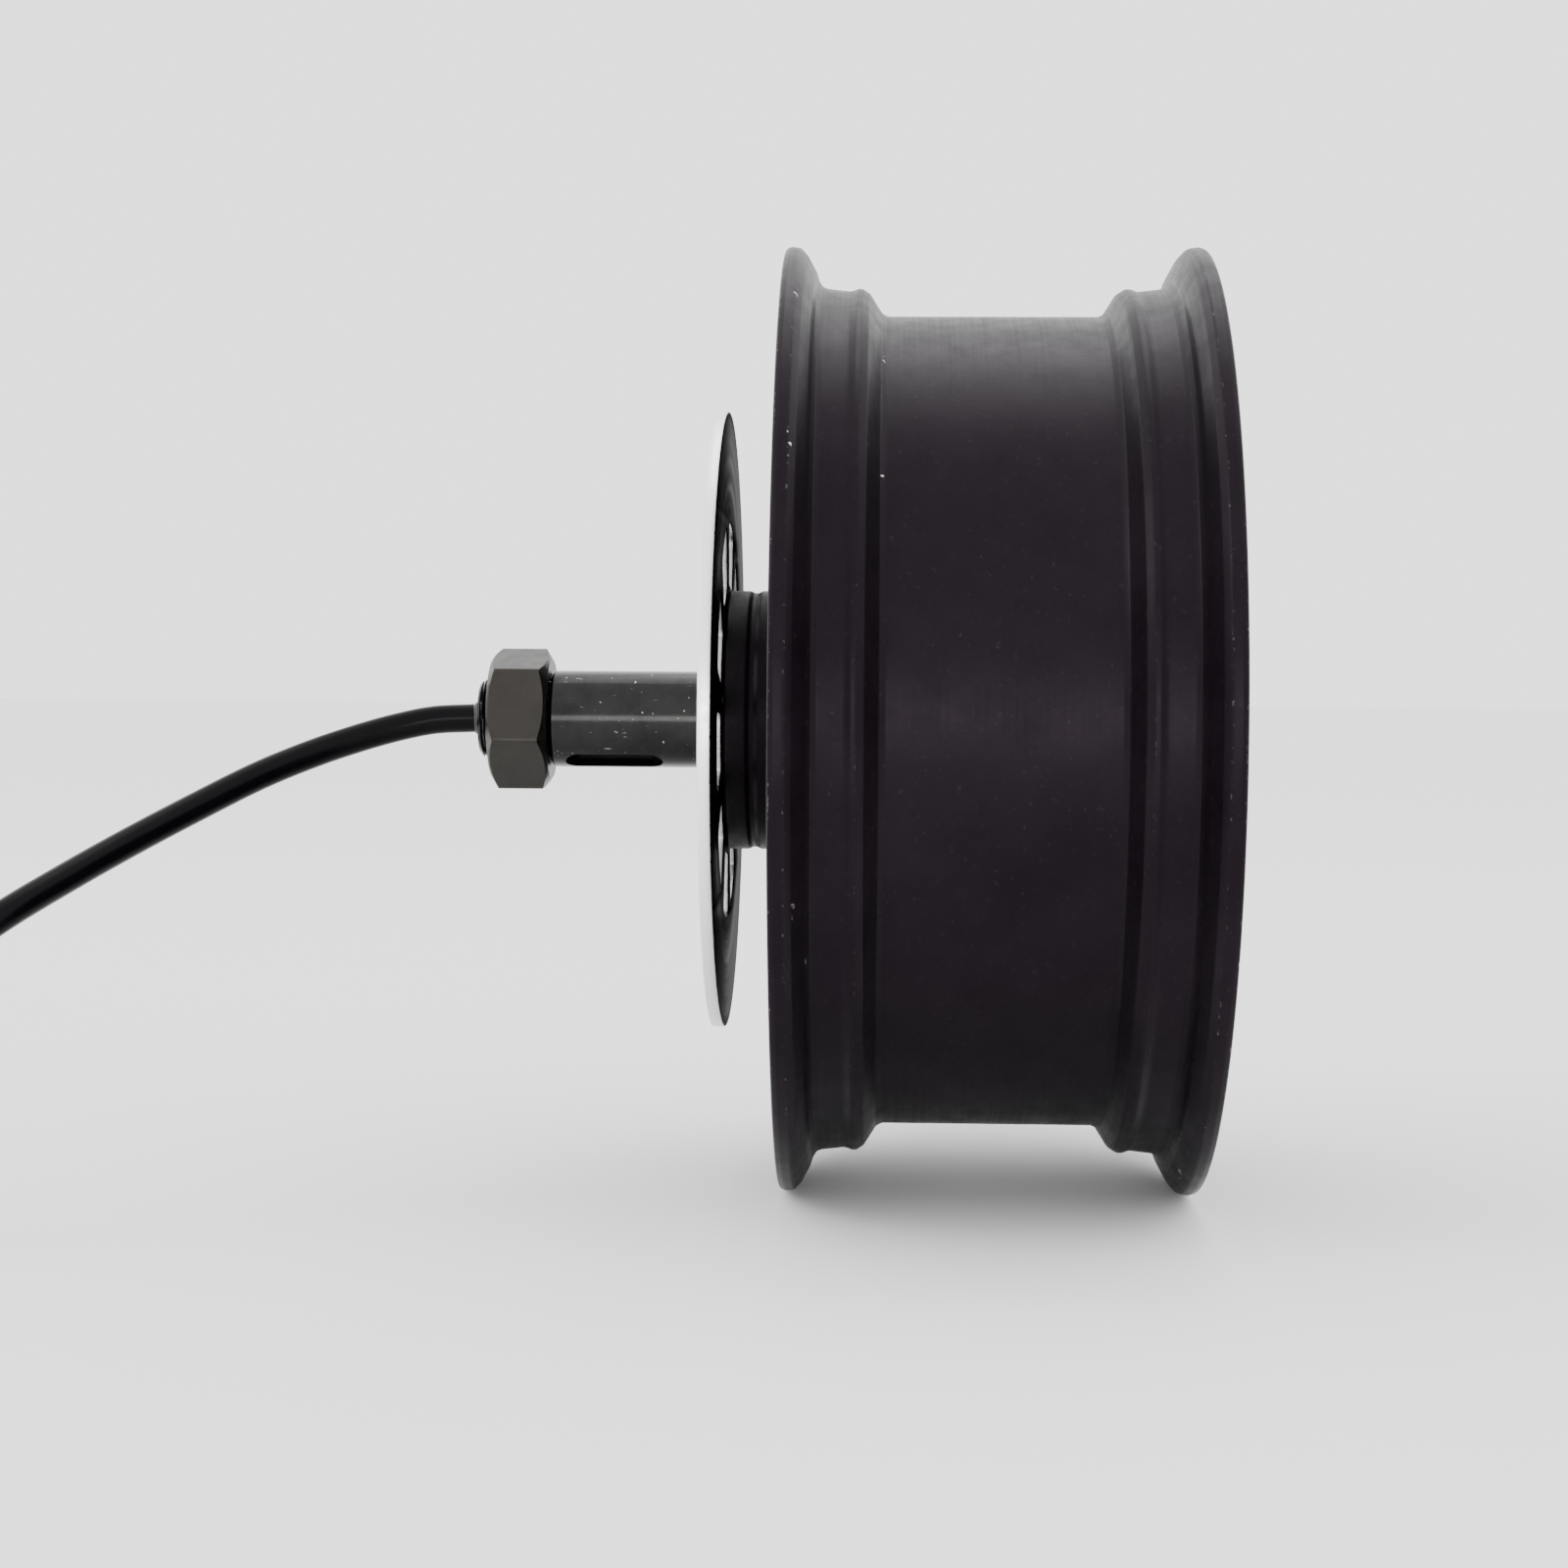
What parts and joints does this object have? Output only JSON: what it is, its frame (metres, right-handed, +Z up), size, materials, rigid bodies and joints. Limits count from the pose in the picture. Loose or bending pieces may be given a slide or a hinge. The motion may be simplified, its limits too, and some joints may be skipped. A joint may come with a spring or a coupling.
{
  "type": "hub motor wheel",
  "caption": "Direct-drive hub motor in a tubeless 13-inch rim, with a plain overhung axle, hexagon nut, brake disc and a motor cable that leaves the axle's end.",
  "frame": {"origin": "on the wheel's axis, at the end of the axle spacer where a mounting arm seats", "axes": "+Y along the axle towards the wheel, -Y towards the nut and the cable, +Z up, +X towards the side on which the cable falls"},
  "size_m": [0.3593, 0.6614, 0.3567],
  "materials": {
    "coated_alloy": "satin black baked coat over cast alloy",
    "cast_cover": "satin black coat over die-cast alloy",
    "disc_steel": "ground steel, dark phosphate on the unswept faces",
    "black_oxide": "turned steel with a thin black oxide",
    "nut_steel": "black-oxide nut steel",
    "screw_steel": "black-oxide screw steel",
    "bearing_steel": "ground bearing steel",
    "cage_steel": "pressed steel cage with polished balls",
    "lamination": "electrical steel",
    "magnet": "nickel-plated magnets",
    "copper": "varnished copper wire",
    "bare_alloy": "machined alloy",
    "board": "circuit board",
    "rubber": "matt black rubber",
    "cable_jacket": "glossy black cable jacket",
    "lead_yellow": "yellow lead insulation",
    "lead_green": "green lead insulation",
    "lead_blue": "blue lead insulation",
    "tinned_copper": "tinned copper",
    "white_nylon": "white nylon connector"
  },
  "bodies": {
    "axle": {"axle_shaft": "black_oxide", "axle_spacer": "bearing_steel", "axle_nut": "nut_steel", "stator_carrier": "bare_alloy", "stator_core": "lamination", "stator_winding": "copper", "hall_sensor_board": "board", "inner_leads": "cable_jacket", "bearing_inner_left": "bearing_steel", "bearing_inner_right": "bearing_steel", "cable_grommet": "rubber", "motor_cable": "cable_jacket", "cable_coil": "cable_jacket", "cable_tail": "cable_jacket", "cable_breakout": "rubber", "phase_lead_1": "lead_yellow", "phase_lead_2": "lead_green", "phase_lead_3": "lead_blue", "phase_lug_1": "tinned_copper", "phase_lug_2": "tinned_copper", "phase_lug_3": "tinned_copper", "signal_lead": "cable_jacket", "signal_plug": "white_nylon"},
    "wheel": {"rim_drum": "coated_alloy", "rotor_yoke": "lamination", "magnet_ring": "magnet", "left_cover": "cast_cover", "right_cover": "cast_cover", "bearing_outer_left": "bearing_steel", "bearing_outer_right": "bearing_steel", "oil_seal": "rubber", "left_o_ring": "rubber", "right_o_ring": "rubber", "brake_disc": "disc_steel", "disc_bolt_1": "screw_steel", "disc_bolt_2": "screw_steel", "disc_bolt_3": "screw_steel", "disc_bolt_4": "screw_steel", "disc_bolt_5": "screw_steel", "disc_bolt_6": "screw_steel", "left_cover_bolt_1": "screw_steel", "left_cover_bolt_2": "screw_steel", "left_cover_bolt_3": "screw_steel", "left_cover_bolt_4": "screw_steel", "left_cover_bolt_5": "screw_steel", "left_cover_bolt_6": "screw_steel", "left_cover_bolt_7": "screw_steel", "left_cover_bolt_8": "screw_steel", "right_cover_bolt_1": "screw_steel", "right_cover_bolt_2": "screw_steel", "right_cover_bolt_3": "screw_steel", "right_cover_bolt_4": "screw_steel", "right_cover_bolt_5": "screw_steel", "right_cover_bolt_6": "screw_steel", "right_cover_bolt_7": "screw_steel", "right_cover_bolt_8": "screw_steel", "valve_stem": "rubber", "valve_cap": "rubber"},
    "cage_left": {"ball_cage_left": "cage_steel"},
    "cage_right": {"ball_cage_right": "cage_steel"}
  },
  "joints": [
    {"name": "wheel_spin", "type": "hinge", "parent": "axle", "child": "wheel", "pos_m": [0, 0.108, 0], "axis": [0, 1, 0], "continuous": true},
    {"name": "cage_left_spin", "type": "hinge", "parent": "axle", "child": "cage_left", "pos_m": [0, 0.108, 0], "axis": [0, 1, 0], "continuous": true},
    {"name": "cage_right_spin", "type": "hinge", "parent": "axle", "child": "cage_right", "pos_m": [0, 0.108, 0], "axis": [0, 1, 0], "continuous": true}
  ],
  "couplings": [
    {"joint": "cage_left_spin", "follows": "wheel_spin", "ratio": 0.573},
    {"joint": "cage_right_spin", "follows": "wheel_spin", "ratio": 0.603}
  ]
}
